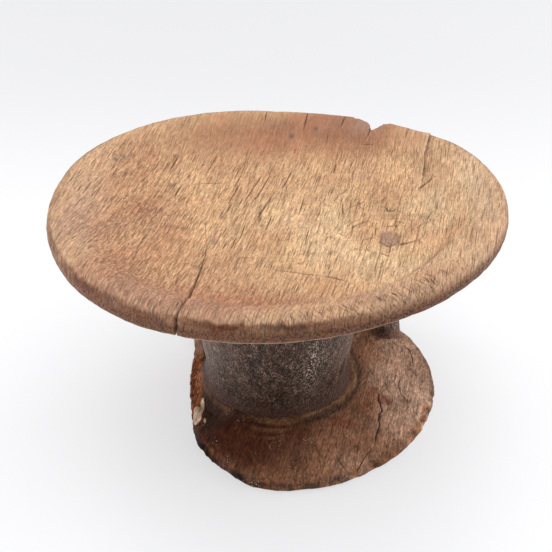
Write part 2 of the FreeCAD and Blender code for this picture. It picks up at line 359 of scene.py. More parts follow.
class Stroke:
    """A cut along a line in a sheet's flat coordinates, tapering at both ends."""

    def __init__(self, line, width, depth, dark=1.0, taper=(0.25, 0.25), seeded=True):
        self.line = np.array(line, float)
        self.width = width
        self.depth = depth
        self.dark = dark
        self.taper = taper
        self.seeded = seeded
        steps = np.linalg.norm(np.diff(self.line, axis=0), axis=1)
        self.start = np.concatenate(([0], np.cumsum(steps)))

    def reach(self, points, margin=2.0):
        """Distance of each point from the line, its side, and its share of the way along."""
        found = np.column_stack((np.full(len(points), 1e9), np.zeros((len(points), 2))))
        low = self.line.min(0) - self.width - margin
        high = self.line.max(0) + self.width + margin
        close = np.flatnonzero(np.all((points > low) & (points < high), axis=1))
        near = points[close]
        for a, b, start in zip(self.line, self.line[1:], self.start):
            run = b - a
            length = np.linalg.norm(run)
            share = np.clip(((near - a) @ run) / length**2, 0, 1)
            gap = near - a - share[:, None] * run
            distance = np.linalg.norm(gap, axis=1)
            side = np.sign(run[0] * gap[:, 1] - run[1] * gap[:, 0])
            along = (start + share * length) / self.start[-1]
            better = distance < found[close, 0]
            found[close[better]] = np.column_stack((distance, side, along))[better]
        return found.T

    def width_at(self, along):
        """Full width at a share of the way along, closing at the tapered ends."""
        opening = np.ones_like(along)
        for taper, share in zip(self.taper, (along, 1 - along)):
            if taper:
                opening *= np.clip(share / taper, 0, 1) ** 0.7
        return self.width * opening

    def seeds(self):
        """Points on the line and on both lips, so that the mesh follows them."""
        count = max(3, int(self.start[-1] / STROKE_SPACING))
        along = np.linspace(0, 1, count)
        where = along * self.start[-1]
        centre = np.stack([np.interp(where, self.start, self.line[:, axis]) for axis in (0, 1)], -1)
        run = np.gradient(centre, axis=0)
        across = np.stack((-run[:, 1], run[:, 0]), -1)
        across /= np.linalg.norm(across, axis=1)[:, None]
        half = np.maximum(self.width_at(along), 0.12)[:, None] / 2
        inner = slice(1, -1)
        return np.vstack((
            centre,
            (centre + across * half)[inner],
            (centre - across * half)[inner],
        ))

    def carve(self, points):
        """How deep the cut is, and how dark, at each point."""
        distance, _, along = self.reach(points)
        half = np.maximum(self.width_at(along), 0.05) / 2
        inside = np.clip(1 - distance / half, 0, 1)
        depth = self.depth * (half * 2 / self.width) * inside
        dark = self.dark * step(0, 0.7, inside) * np.clip(half * 4 / self.width, 0.35, 1)
        return depth, dark


def carve_all(strokes, points):
    """The deepest cut and the darkest tone that the strokes leave at each point."""
    depth = np.zeros(len(points))
    dark = np.zeros(len(points))
    for stroke in strokes:
        one_depth, one_dark = stroke.carve(points)
        depth = np.maximum(depth, one_depth)
        dark = np.maximum(dark, one_dark)
    return depth, dark


def dash(x, y, length, lean):
    """A straight line from (x, y); lean is its direction in degrees."""
    lean = math.radians(lean)
    return ((x, y), (x + length * math.cos(lean), y + length * math.sin(lean)))


# ---------------------------------------------------------------- meshes

def hex_points(radius, spacing, seed):
    """Points over a disc in a slightly uneven hexagonal pattern."""
    rng = np.random.default_rng(seed)
    rows = np.arange(-radius, radius, spacing * math.sqrt(3) / 2)
    columns = np.arange(-radius, radius, spacing)
    x, y = np.meshgrid(columns, rows)
    x[::2] += spacing / 2
    points = np.stack((x.ravel(), y.ravel()), -1)
    points += rng.uniform(-0.22, 0.22, points.shape) * spacing
    return points[np.hypot(points[:, 0], points[:, 1]) < radius - 0.7 * spacing]


def disc_sheet(radius, spacing, strokes, seed):
    """Flat points and triangles of a disc: the outer ring comes first."""
    ring = cartesian(radius, np.arange(RING_COUNT) * 360 / RING_COUNT)
    points = hex_points(radius, spacing, seed)
    seeds = []
    for stroke in strokes:
        if not stroke.seeded:
            continue
        distance, _, _ = stroke.reach(points)
        points = points[distance > stroke.width / 2 + STROKE_MARGIN]
        own = stroke.seeds()
        for other in seeds:
            clash = np.linalg.norm(own[:, None] - other[None], axis=2).min(1) < SEED_GAP
            own = own[~clash]
        seeds.append(own)
    if seeds:
        extra = np.vstack(seeds)
        extra = extra[np.hypot(extra[:, 0], extra[:, 1]) < radius - STROKE_MARGIN]
        points = np.vstack((points, extra))
    points = np.vstack((ring, points))
    flat = [tuple(point) for point in points]
    result = delaunay_2d_cdt(flat, [], [], 0, 1e-7, True)
    source = np.array([ids[0] for ids in result[3]])
    faces = source[np.array(result[2])]
    return points, faces


def closed_disc(top_radius, under_radius, under_spacing, strokes, seed):
    """Flat points and faces of two sheets joined at their outer rings, and which points are on top."""
    top, top_faces = disc_sheet(top_radius, FINE_SPACING, strokes, seed)
    under, under_faces = disc_sheet(under_radius, under_spacing, [], seed + 1)
    moved = np.where(under_faces < RING_COUNT, under_faces, under_faces + len(top) - RING_COUNT)
    flat = np.vstack((top, under[RING_COUNT:]))
    return flat, np.vstack((top_faces, moved[:, ::-1])), np.arange(len(flat)) < len(top)


def vertex_normals(points, faces):
    normals = np.zeros_like(points)
    a, b, c = (points[faces[:, corner]] for corner in range(3))
    across = np.cross(b - a, c - a)
    for corner in range(3):
        for axis in range(3):
            normals[:, axis] += np.bincount(faces[:, corner], across[:, axis], len(points))
    return normals / np.maximum(np.linalg.norm(normals, axis=1), 1e-12)[:, None]


def make_piece(node, points, faces, paint, material):
    """A mesh piece that stands for a CAD node; paint holds named values at each vertex."""
    mesh = bpy.data.meshes.new(node)
    mesh.vertices.add(len(points))
    mesh.vertices.foreach_set("co", (points * MM).ravel())
    mesh.loops.add(faces.size)
    mesh.loops.foreach_set("vertex_index", faces.ravel())
    mesh.polygons.add(len(faces))
    mesh.polygons.foreach_set("loop_start", np.arange(len(faces)) * 3)
    mesh.update(calc_edges=True)
    mesh.shade_smooth()
    for key, values in paint.items():
        attribute = mesh.attributes.new(key, "FLOAT", "POINT")
        attribute.data.foreach_set("value", np.clip(values, 0, 1).astype(np.float32))
    mesh.materials.append(material)
    piece = bpy.data.objects.new(node, mesh)
    bpy.context.scene.collection.objects.link(piece)
    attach(piece, "root")
    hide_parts(node)
    return piece


# ---------------------------------------------------------------- the seat

FULL_RIM = smooth_line([(radius, full) for radius, full, _ in RIM_CROSS])
GENTLE_RIM = smooth_line([(radius, gentle) for radius, _, gentle in RIM_CROSS])
RIM_RUN = np.concatenate(([0], np.cumsum(np.linalg.norm(np.diff(FULL_RIM, axis=0), axis=1))))
RIM_END = RIM_RUN[-1]
BEFORE_EDGE = FULL_RIM[:, 0].argmax()
INNER_RADIUS = FULL_RIM[:BEFORE_EDGE, 0]
INNER_RUN = RIM_RUN[:BEFORE_EDGE]
CREST_RUN = float(np.interp(CREST_RADIUS, INNER_RADIUS, INNER_RUN))


def seat_outline(angle):
    """Radius of the seat's outer edge, which was cut by eye: a circle with slow swells."""
    radius = np.full_like(np.asarray(angle, float), SEAT_RADIUS)
    for waves, height, crest in SEAT_SWELLS:
        radius = radius + height * np.cos(np.radians(waves * (angle - crest)))
    return radius


def seat_flat(x, y):
    """Flat coordinates on the seat's sheet of a place on the dish given in plan."""
    offset = np.array((x, y)) - SEAT_CENTRE
    angle = math.degrees(math.atan2(offset[1], offset[0]))
    radius = np.hypot(*offset) * SEAT_RADIUS / float(seat_outline(angle))
    return cartesian(np.interp(radius, INNER_RADIUS, INNER_RUN), angle)


def rim_flat(run, angle):
    """Flat coordinates of a place on the rim, run millimetres outside the crest."""
    return cartesian(CREST_RUN + run, angle)


def on_dish(*places):
    return [seat_flat(x, y) for x, y in places]


def notch_depth(angle):
    """How far the break in the far rim reaches in from the outer edge."""
    gap = angle_gap(angle, NOTCH_ANGLE)
    place = np.stack((gap, np.zeros_like(gap), np.zeros_like(gap)), -1)
    ragged = 0.9 * noise(place, 1.7, 31) + 1.0 * noise(place, 0.5, 32)
    far_wall = 1 - 0.45 * step(-2.2, 2.4, gap) - 0.55 * step(NOTCH_HALF - 3.0, NOTCH_HALF + 1.4, gap)
    near_wall = step(-NOTCH_HALF - 0.6, -NOTCH_HALF + 1.8, gap)
    spur = 0.3 * bump(gap, -NOTCH_HALF + 3.0, 1.6)
    return far_wall * near_wall * (NOTCH_REACH * (1 + spur) + ragged)


def rim_drop(run, angle):
    """Depth below the crest: the rim stands up most at the right front, and fades at the left rear."""
    turned = np.radians(angle + 50)
    full_rim = np.clip(0.55 + 0.45 * np.cos(turned) + 0.2 * np.cos(2 * turned), 0, 1)
    full = np.interp(run, RIM_RUN, FULL_RIM[:, 1])
    gentle = np.interp(run, RIM_RUN, GENTLE_RIM[:, 1])
    return gentle + (full - gentle) * full_rim


def place_seat(radius, angle, drop):
    """Row-frame places from a radius about the seat's centre and a depth below the crest."""
    flat = cartesian(radius, angle) + SEAT_CENTRE
    height = CREST_HEIGHT - drop + SEAT_SLOPE * flat[:, 0]
    return np.column_stack((flat, height))


def seat_top(run, angle):
    """The dish and the rim, with the wall of the break where the rim is gone."""
    scale = seat_outline(angle) / SEAT_RADIUS
    radius = np.interp(run, RIM_RUN, FULL_RIM[:, 0]) * scale
    drop = rim_drop(run, angle)
    depth = notch_depth(angle)
    cut = SEAT_RADIUS - depth
    cut_run = np.interp(cut, INNER_RADIUS, INNER_RUN)
    beyond = np.clip((run - cut_run) / (RIM_END - cut_run), 0, 1)
    broken = (run > cut_run) & (depth > 1.0)
    lower_radius, lower_drop = UNDER_CROSS[-1]
    wall_radius = cut + (lower_radius - cut) * 0.5 * beyond
    wall_drop = rim_drop(cut_run, angle) * (1 - beyond) + lower_drop * beyond
    radius = np.where(broken, wall_radius * scale, radius)
    drop = np.where(broken, wall_drop, drop)
    return place_seat(radius, angle, drop)


def seat_under(radius, angle):
    """The underside, drawn in where the rim is broken."""
    edge_radius = UNDER_CROSS[-1][0]
    drop = follow(UNDER_CROSS, radius)
    depth = notch_depth(angle)
    edge = np.where(depth > 1.0, (SEAT_RADIUS - depth + edge_radius) / 2, edge_radius)
    near_edge = step(edge_radius - 40, edge_radius, radius)
    drawn = radius * (1 - near_edge * (1 - edge / edge_radius))
    return place_seat(drawn * seat_outline(angle) / SEAT_RADIUS, angle, drop)


def under_height(places):
    """Height of the seat's underside over places near the strut."""
    radius, angle = polar(places[:, :2] - SEAT_CENTRE)
    drop = follow(UNDER_CROSS, radius * SEAT_RADIUS / seat_outline(angle))
    return CREST_HEIGHT - drop + SEAT_SLOPE * places[:, 0]


def seat_strokes():
    """Every split, crack, cut and gouge on the seat, in its sheet's flat coordinates."""
    rng = np.random.default_rng(7)
    # The open drying split through the near rim, and its faint run on towards the middle.
    split = on_dish(*OPEN_SPLIT) + [rim_flat(*place) for place in SPLIT_IN_RIM]
    split.append(rim_flat(RIM_END - CREST_RUN + 1, SPLIT_END))
    strokes = [
        Stroke(split, SPLIT_WIDTH, SPLIT_DEPTH, taper=(0.6, 0)),
        Stroke(on_dish(*FAINT_SPLIT), 0.45, 0.5, dark=0.6),
        Stroke(on_dish(*SPLIT_BRANCH), 1.2, 1.6),
    ]
    strokes += [Stroke(on_dish(*line), CRACK_WIDTH, CRACK_DEPTH) for line in GRAIN_CRACKS]
    strokes += [Stroke(on_dish(*line), width, depth, dark) for width, depth, dark, line in FAR_CRACKS]
    strokes += [Stroke(on_dish(*line), width, SCRATCH_DEPTH) for width, line in SCRATCHES]
    # Fine short cracks along the grain, most of them in the middle of the dish.
    for _ in range(FINE_CRACKS):
        x, y = rng.normal(-22, 52), rng.normal(6, 44)
        if math.hypot(x, y) > FINE_REACH:
            continue
        line = on_dish(*dash(x, y, rng.uniform(4, 16), -90 - GRAIN_TURN - rng.normal(0, 2.5)))
        strokes.append(Stroke(line, rng.uniform(0.5, 0.9), 0.4, rng.uniform(0.5, 1.0)))
    # The worn right half is crossed by small cuts in every direction.
    for _ in range(SMALL_CUTS):
        x, y = rng.normal(58, 24), rng.normal(-18, 38)
        if math.hypot(x, y) > CUT_REACH:
            continue
        line = on_dish(*dash(x, y, rng.uniform(2.5, 7), -90 - rng.uniform(0, 180)))
        strokes.append(Stroke(line, rng.uniform(0.6, 1.1), 0.4, rng.uniform(0.4, 0.9)))
    # Gouges across the near rim, packed closest at the right, and a few longer ones.
    for _ in range(GOUGES):
        angle = rng.triangular(-104, -54, -32)
        run = rng.uniform(-3, 7)
        line = dash(*rim_flat(run, angle), rng.uniform(2.0, 5.0), rng.normal(-56, 13))
        strokes.append(Stroke(line, rng.uniform(0.5, 0.9), rng.uniform(0.2, 0.6), rng.uniform(0.4, 1.0)))
    for angle, run, length, lean in RIM_TICKS:
        line = dash(*rim_flat(run, angle), TICK_SHARE * length, lean)
        strokes.append(Stroke(line, TICK_SIZE, TICK_SIZE))
    return strokes


def raised_side(flat_points):
    """The stepped split in the right rear: how far each place has lifted, and its painted shade and painted
    highlight.
    """
    line = Stroke(on_dish(*RAISED_SPLIT), 0.6, 0.0)
    distance, side, along = line.reach(flat_points, margin=60)
    window = step(0, 0.2, along) * (1 - step(0.6, 1.0, along))
    lifted = np.where(side < 0, 1.0, 0.0)
    height = lifted * np.exp(-distance / 14) - (1 - lifted) * 0.4 * np.exp(-distance / 5)
    dark = (1 - lifted) * np.exp(-distance / 1.6)
    light = lifted * np.exp(-distance / 0.8)
    return SPLIT_STEP * window * height, window * dark, window * light


def knot_rings(places):
    """Distance from the knot's middle, as 1 at its rim."""
    return np.linalg.norm((places[:, :2] - KNOT) / KNOT_HALF, axis=1)


def knot_arc(places, knot):
    """Painted shade: the dark line round the near right side of the knot."""
    _, turn = polar(places[:, :2] - KNOT)
    return 1.5 * bump(knot, 1.0, 0.2) * (1 - step(70, 135, np.abs(angle_gap(turn, -50))))


def crease(run, angle, places):
    """Painted shade in the crease inside the rim, thickest at the right front."""
    line = bump(run, CREST_RUN - CREASE_INSET + 1.5 * noise(places, 25, 45), CREASE_HALF)
    reach = step(-118, -70, angle) * (1 - step(-36, -14, angle)) * step(-180, -130, angle)
    return line * reach * (0.75 + 0.4 * noise(places, 7, 47))


def far_edge(run, angle):
    """Painted shade: the far rim darkens just beyond its crest."""
    return 0.7 * step(CREST_RUN + 3.0, CREST_RUN + 6.5, run) * step(-0.1, 0.5, np.sin(np.radians(angle)))


def grey_of_rim(run, angle):
    """The handled rim is greyer and pinker than the dish, most of all at the near side."""
    near = 0.5 + 0.5 * np.cos(np.radians(angle + 80))
    return (0.15 + 0.3 * near) * step(CREST_RUN - 42, CREST_RUN + 4, run)


def under_shade(run, angle):
    """The rim's outer face darkens downwards, most of all at the near right."""
    near = 0.66 + 0.34 * np.cos(np.radians(angle + 70))
    line = 0.5 * bump(run, CREST_RUN + 8.0, 0.8) * (1 - near)
    return near * step(CREST_RUN + 7.5, CREST_RUN + 14.5, run) + line


def outer_band(run, angle):
    """A dark polished band round the rim's outer face, above its paler lower edge."""
    gap = angle_gap(angle, -103)
    near = np.where(gap > 0, np.exp(-((gap / 42) ** 4)), np.exp(-((gap / 80) ** 4)))
    wander = np.column_stack((angle * 2.4, run, np.zeros_like(run)))
    run = run + 1.2 * noise(wander, (9, 40, 1), 49) + 1.0 * noise(wander, (2.5, 40, 1), 50)
    patchy = 0.75 + 0.4 * noise(wander, (16, 6, 1), 52)
    band = step(CREST_RUN + 6.0, CREST_RUN + 8.6, run) * (1 - step(CREST_RUN + 9, CREST_RUN + 15, run))
    return band * near * patchy


def make_seat(material):
    strokes = seat_strokes()
    guide = Stroke(on_dish(*RAISED_SPLIT), 0.6, 0.0)
    edge_radius = UNDER_CROSS[-1][0]
    flat, faces, on_top = closed_disc(RIM_END, edge_radius, SEAT_UNDER_SPACING, strokes + [guide], seed=3)
    run, angle = polar(flat)
    places = np.where(on_top[:, None], seat_top(run, angle), seat_under(run, angle))
    cut_depth, cut_dark = np.array(carve_all(strokes, flat)) * on_top
    lift, split_shade, split_light = np.array(raised_side(flat)) * on_top
    notch = notch_depth(angle)
    broken = on_top & (notch > 1.0) & (run > np.interp(SEAT_RADIUS - notch, INNER_RADIUS, INNER_RUN))
    knot = knot_rings(places)
    in_knot = on_top & (run < 100)
    on_crown = on_top * step(CREST_RUN - 12, CREST_RUN + 6, run)

    swell = 0.7 * rough(places, 52, 11, 2) + 0.14 * noise(places, 13, 13)
    ripple = 0.07 * noise(places @ GRAIN_FRAME, (3.4, 40.0, 9.0), 17)
    adze = ~on_top * 0.9 * adze_marks(places, 15, 23)
    edge_wear = on_crown * (0.18 * noise(places, 8.0, 29) + 0.12 * noise(places, 3.0, 30))
    tear = broken * 1.1 * noise(places @ GRAIN_FRAME, (1.6, 9.0, 3.2), 37)
    moved = swell + ripple + adze + edge_wear + tear - cut_depth
    moved -= in_knot * 0.5 * (1 - step(0.6, 1.05, knot))
    places = places + vertex_normals(places, faces) * moved[:, None]
    places[:, 2] += lift

    knot_shade = np.maximum(split_shade, in_knot * knot_arc(places, knot))
    paint = {
        "cut": cut_dark,
        "tone": 0.5 + 0.5 * patches(places, SEAT_TONES) + 0.12 * noise(places, 30, 41),
        "grey": np.where(on_top, grey_of_rim(run, angle), 0.55) + patches(places, SEAT_GREYS),
        "band": on_top * outer_band(run, angle),
        "torn": broken.astype(float),
        # under: painted shade on the rim's outer face, darker downwards and most at the near right; the
        # underside takes the same dark colour all over.
        "under": np.where(on_top, under_shade(run, angle), 1.0),
        "knot": in_knot * (1 - step(0.75, 1.1, knot)),
        # light: painted highlights on the lifted lip of the split and along the rim's lower edge.
        "light": split_light + on_top * 0.75 * bump(run, CREST_RUN + 19.6, 1.3),
        # shade: painted shade beside the split's step, round the knot's near right side and beyond the far
        # rim's crest, with real dark spots.
        "shade": knot_shade + on_top * (patches(places, DARK_SPOTS) + far_edge(run, angle)),
        "crease": on_top * crease(run, angle, places),
        "crisp": 0.8 + 0.2 * step(-30, -70, places[:, 0]) - 0.5 * step(50, 100, places[:, 1]),
    }
    return make_piece("seat", places, faces, paint, material)


# ---------------------------------------------------------------- the column and the strut

def tube(rings, ends):
    """Places and faces of a tube through rings of places, closed around its two end places."""
    rows, turns = len(rings), len(rings[0])
    index = np.arange(turns)
    following = (index + 1) % turns
    first = np.arange(rows - 1)[:, None] * turns
    low, beside = (first + index).ravel(), (first + following).ravel()
    foot, head = np.full(turns, rows * turns), np.full(turns, rows * turns + 1)
    last = (rows - 1) * turns
    faces = np.vstack([np.stack(corners, -1) for corners in (
        (low, beside, beside + turns),
        (low, beside + turns, low + turns),
        (following, index, foot),
        (last + index, last + following, head),
    )])
    return np.vstack((*rings, ends)), faces


def push(places, faces, moved):
    """Moves a tube's places along their normals, all but the two at its ends."""
    moved[-2:] = 0
    return places + vertex_normals(places, faces) * moved[:, None]


def column_strokes():
    """Scratches and chips on the column, in (arc length, height)."""
    rng = np.random.default_rng(12)
    scale = COLUMN_RADIUS * math.pi / 180
    strokes = []
    for angle, height, length, lean, width, depth in COLUMN_CUTS:
        line = dash(angle * scale, height, length, lean)
        strokes.append(Stroke(line, width, depth, seeded=False))
    for _ in range(COLUMN_SCRATCHES):
        x = rng.uniform(-180, 180) * scale
        line = dash(x, rng.uniform(20, 118), rng.uniform(2, 9), rng.uniform(0, 180))
        dark = rng.uniform(0.3, 0.9)
        strokes.append(Stroke(line, rng.uniform(0.6, 1.1), rng.uniform(0.12, 0.35), dark, seeded=False))
    return strokes


def painted_glints(places, angle):
    """Painted glints on the end-grain pores at the right front of the column."""
    around = angle_gap(angle, -64) + 6 * noise(places, 9, 71)
    return np.exp(-((around / 9) ** 2)) * np.exp(-(((places[:, 2] - 52) / 22) ** 2))


def make_column(material):
    side = smooth_line(COLUMN_SIDE)
    turn = np.arange(COLUMN_TURNS) * 360 / COLUMN_TURNS - 180
    low = FOOT_HEIGHT - TOUCH
    under_seat = CREST_HEIGHT - SEAT_DEPTH
    top = under_seat + SEAT_SLOPE * (COLUMN_RADIUS * np.cos(np.radians(turn))) + TOUCH
    rings, flat = [], []
    for share in np.linspace(0, 1, COLUMN_ROWS):
        height = low + (top - low) * share
        radius = follow(side, low + (COLUMN_SIDE[-1][0] - low) * share)
        rings.append(np.column_stack((cartesian(radius, turn), height)))
        flat.append(np.column_stack((turn * COLUMN_RADIUS * math.pi / 180, height)))
    places, faces = tube(rings, ((0, 0, low), (0, 0, under_seat + TOUCH)))
    flat = np.vstack((*flat, ((0, low), (0, low))))
    depth, dark = carve_all(column_strokes(), flat)
    swell = 0.55 * rough(places, 34, 51, 2) + 0.35 * adze_marks(places, 17, 57)
    fine = 0.10 * noise(places, (2.2, 2.2, 9.0), 61) + 0.06 * noise(places, 1.8, 63)
    places = push(places, faces, swell + fine - depth)
    _, angle = polar(places)
    # Painted sheen: the column's sides, left and right as seen from the front, are made lighter above its
    # lower part.
    painted_side_sheen = 1.3 * np.cos(np.radians(angle)) ** 4 * step(28, 46, places[:, 2])
    paint = {
        "cut": dark,
        "foot": 1 - step(FOOT_HEIGHT + 1, FOOT_HEIGHT + 13, places[:, 2] + 5 * noise(places, 11, 67)),
        "sheen": step(-0.2, 0.6, noise(places, (9, 9, 30), 69)) * 0.4 + painted_side_sheen,
        "speck": painted_glints(places, angle),
    }
    return make_piece("column", places, faces, paint, material)


def make_strut(material):
    knots = np.array(STRUT_RINGS)
    heights = np.linspace(knots[0, 0], knots[-1, 0], STRUT_ROWS)
    curves = [smooth_line(knots[:, (0, column)]) for column in (1, 2, 3)]
    sizes = [follow(curve, heights) for curve in curves]
    outward = cartesian(1.0, STRUT_ANGLE)
    around = np.array((-outward[1], outward[0]))
    turn = np.arange(STRUT_TURNS) * 2 * math.pi / STRUT_TURNS
    # A little squarer than an ellipse, as a knife leaves it.
    c, s = np.cos(turn), np.sin(turn)
    square = (np.abs(c) ** 2.5 + np.abs(s) ** 2.5) ** (-1 / 2.5)
    rings = []
    for height, radial, tangential, bow in zip(heights, *sizes):
        ring = (STRUT_REACH + bow + radial * square * c)[:, None] * outward
        ring = ring + (tangential * square * s)[:, None] * around
        rings.append(np.column_stack((ring, np.full(STRUT_TURNS, height))))
    middle = outward * STRUT_REACH
    places, faces = tube(rings, ((*middle, heights[0]), (*middle, heights[-1])))
    # The head spreads into the underside of the seat and follows its slope.
    buried = under_height(places) + 2 * TOUCH - heights[-1]
    places[:, 2] += step(STRUT_HEAD, heights[-1], places[:, 2]) * buried
    moved = 0.5 * rough(places, 22, 81, 2) + 0.5 * adze_marks(places, 11, 83) + 0.08 * noise(places, 2.0, 87)
    places = push(places, faces, moved)
    paint = {
        "cut": step(0.55, 0.8, noise(places, (1.6, 1.6, 12.0), 89)) * 0.5,
        "foot": 1 - step(8, 17, places[:, 2] + 2 * noise(places, 6, 91)),
        "sheen": step(-0.3, 0.5, noise(places, (5, 5, 25), 93)),
        "speck": 0.3 * step(0.5, 0.8, noise(places, 9, 95)),
    }
    return make_piece("side_strut", places, faces, paint, material)


# ---------------------------------------------------------------- the base

def split_radius(angle):
    """Radius of the base's outline: a circle, or the broken edge where it comes nearer."""
    corners = np.array(SPLIT_EDGE)
    fine = np.linspace(0, len(corners) - 1, 600)
    line = np.stack([np.interp(fine, np.arange(len(corners)), corners[:, axis]) for axis in (0, 1)], -1)
    line_radius, line_angle = polar(line)
    line_angle = line_angle % 360
    order = np.argsort(line_angle)
    turned = np.asarray(angle) % 360
    inside = (turned > line_angle.min()) & (turned < line_angle.max())
    radius = np.interp(turned, line_angle[order], line_radius[order])
    return np.where(inside, np.minimum(radius, BASE_RADIUS), BASE_RADIUS)


def is_split(angle):
    """1 on the long break at the left, 0 on the old worn edge."""
    turned = np.asarray(angle) % 360
    return step(118, 124, turned) * (1 - step(222, 240, turned))


def base_outline(angle):
    """Radius of the base's ragged edge."""
    turned = np.radians(angle)
    circle = np.column_stack((np.cos(turned), np.sin(turned), np.zeros_like(turned))) * 60
    ragged = 0.9 * noise(circle, 9, 101) + 0.5 * noise(circle, 3.2, 102) + 0.25 * noise(circle, 1.2, 103)
    return split_radius(angle) + 0.7 + ragged * (0.6 + 0.2 * is_split(angle))


def base_top(run, angle):
    """The base's upper side and edge, from the middle outwards."""
    outline = base_outline(angle)
    edge = np.array(BASE_EDGE)
    past = np.clip((run - BASE_TOP_RUN) / (BASE_END_RUN - BASE_TOP_RUN), 0, 1) * (len(edge) - 1)
    inset = np.interp(past, np.arange(len(edge)), edge[:, 0])
    share = np.interp(past, np.arange(len(edge)), edge[:, 1])
    draw = np.clip((run - HIDDEN_RUN) / (BASE_TOP_RUN - HIDDEN_RUN), 0, 1)
    radius = np.minimum(run, BASE_TOP_RUN) + (outline - edge[0, 0] - BASE_TOP_RUN) * draw
    radius = np.where(run > BASE_TOP_RUN, outline - inset, radius)
    top = follow(smooth_line(BASE_SWELL), np.minimum(radius, outline - edge[0, 0]))
    places = np.column_stack((cartesian(radius, angle), top))
    # The break slopes down to the left from the foot of the column.
    fall = is_split(angle) * step(48.5, 57, radius) * (0.62 + 0.2 * noise(places * (1, 1, 0), 8, 105))
    places[:, 2] = top * (1 - fall) * share
    return places


def base_strokes():
    """Every crack in the base's top, in plan."""
    strokes = [Stroke(line, width, depth) for width, depth, line in BASE_CRACKS]
    rng = np.random.default_rng(21)
    for _ in range(BASE_FINE_CRACKS):
        angle = rng.uniform(-150, 90)
        radius = rng.uniform(58, 100)
        lean = 90 - GRAIN_TURN + rng.normal(0, 22)
        line = dash(*cartesian(radius, angle), rng.uniform(3, 11), lean)
        strokes.append(Stroke(line, rng.uniform(0.4, 0.8), rng.uniform(0.2, 0.5), rng.uniform(0.4, 0.9)))
    return strokes


def collar(radius, angle):
    """The raised ring at the column's foot: worn wide at the front, a thin line at the right."""
    front = bump(angle, -92, 28)
    right = step(-78, -66, angle) * (1 - step(20, 40, angle))
    rings = 0.7 * bump(radius, 53.5, 3.0) + 0.55 * bump(radius, 60.5, 3.2) + 0.25 * bump(radius, 67.5, 3.0)
    return front * rings + right * bump(radius, 52.3, 1.8)


def raw_edge(run, angle):
    """Orange wood along the worn edge at the right front."""
    return step(BASE_TOP_RUN - 1, BASE_TOP_RUN + 1, run) * step(-56, -46, angle) * (1 - step(-28, -20, angle))


def dark_rim(run, places):
    """Painted shade, near black, low on the thin edge at the left front."""
    low = step(BASE_TOP_RUN + 2.0, BASE_TOP_RUN + 4.5, run)
    along = bump(places[:, 0], -50, 14) * step(-32, -42, places[:, 1]) + bump(places[:, 0], -25, 9)
    return low * np.clip(along * 1.4, 0, 1) * (1 - step(-30, -20, places[:, 1]))


def edge_chips(places):
    """Bites out of the thin edge, in millimetres."""
    total = np.zeros(len(places))
    for x, y, size, depth in EDGE_BITES:
        distance = np.hypot(places[:, 0] - x, places[:, 1] - y) / size
        total = np.maximum(total, depth * (1 - step(0.5, 1.15, distance)))
    return total * (1 + 0.5 * noise(places, 2.2, 131))


def fresh_wood(places, left):
    """Small places on the break where pale wood shows."""
    pale = np.zeros(len(places))
    for x, y, wide, deep in FRESH_PLACES:
        near = ((places[:, 0] - x) / wide) ** 2 + ((places[:, 1] - y) / deep) ** 2
        pale = np.maximum(pale, 1 - step(0.7, 1.2, near + 0.5 * noise(places, 3.0, 133)))
    return pale * step(0.1, 0.5, left + step(-46, -50, places[:, 0]))


def make_base(material):
    strokes = base_strokes()
    flat, faces, on_top = closed_disc(BASE_END_RUN, BASE_RADIUS, BASE_UNDER_SPACING, strokes, seed=5)
    run, angle = polar(flat)
    inner = run * (base_outline(angle) - UNDER_INSET) / BASE_RADIUS
    under = np.column_stack((cartesian(inner, angle), np.zeros_like(run)))
    places = np.where(on_top[:, None], base_top(run, angle), under)
    depth, dark = np.array(carve_all(strokes, flat)) * on_top
    radius, _ = polar(places)
    left = is_split(angle) * step(49.5, 54, radius) * on_top
    inset = base_outline(angle) - radius + 1.5 * noise(places, 5, 137)
    swell = 0.45 * rough(places, 30, 111, 2) + 0.18 * rough(places, 8, 113, 2)
    grain = places @ GRAIN_FRAME
    wrinkle = 0.10 * noise(grain, (1.8, 12.0, 4.0), 117) + 0.06 * noise(places, 2.2, 119)
    tear = left * (0.45 * noise(grain, (2.6, 9.0, 3.0), 121) + 0.2 * noise(places, 1.8, 123))
    chips = on_top * step(BASE_TOP_RUN - 6, BASE_TOP_RUN, run) * edge_chips(places)
    free = step(0.0, 1.6, places[:, 2])
    moved = (swell + wrinkle + tear - chips) * free - depth * free
    places = places + vertex_normals(places, faces) * moved[:, None]
    places[:, 2] = np.maximum(places[:, 2], 0)
    chipped = np.maximum(step(0.5, 1.6, chips), raw_edge(run, angle)) * step(-0.2, 0.2, noise(places, 3, 129))
    rings = collar(radius + 2.0 * noise(places, 11, 139), angle) * (1 + 0.5 * noise(places, 6, 141))
    shade = np.maximum.reduce((
        0.9 * bump(radius, 56, 4.5) * (1 - bump(angle, -98, 34)),
        0.5 * bump(radius, 56.5, 2.0),
        0.5 * (1 - step(50, 66, radius)),
        1.1 * left * step(5, 9, inset),
        0.8 * bump(angle, -142, 20) * (1 - step(60, 80, radius)),
    ))
    paint = {
        "cut": dark,
        "torn": left * step(-52, -40, places[:, 1]) * (1 - step(6.5, 9.5, inset)),
        "fresh": fresh_wood(places, left),
        # edge: painted shade on the base's edge face, all round.
        "edge": on_top * step(BASE_TOP_RUN - 1, BASE_TOP_RUN + 3, run),
        "chip": on_top * chipped,
        "collar": on_top * rings,
        "red": on_top * step(0.0, 0.4, patches(places, RED_PATCHES) + 0.35 * noise(places, 5, 135) - 0.3),
        "black": on_top * dark_rim(run, places),
        "weathered": left * step(24, 40, places[:, 1]),
        "tone": 0.5 + 0.5 * patches(places, BASE_TONES) + 0.2 * noise(places, 18, 127),
        "shade": on_top * shade,
    }
    return make_piece("base", places, faces, paint, material)


# ---------------------------------------------------------------- materials

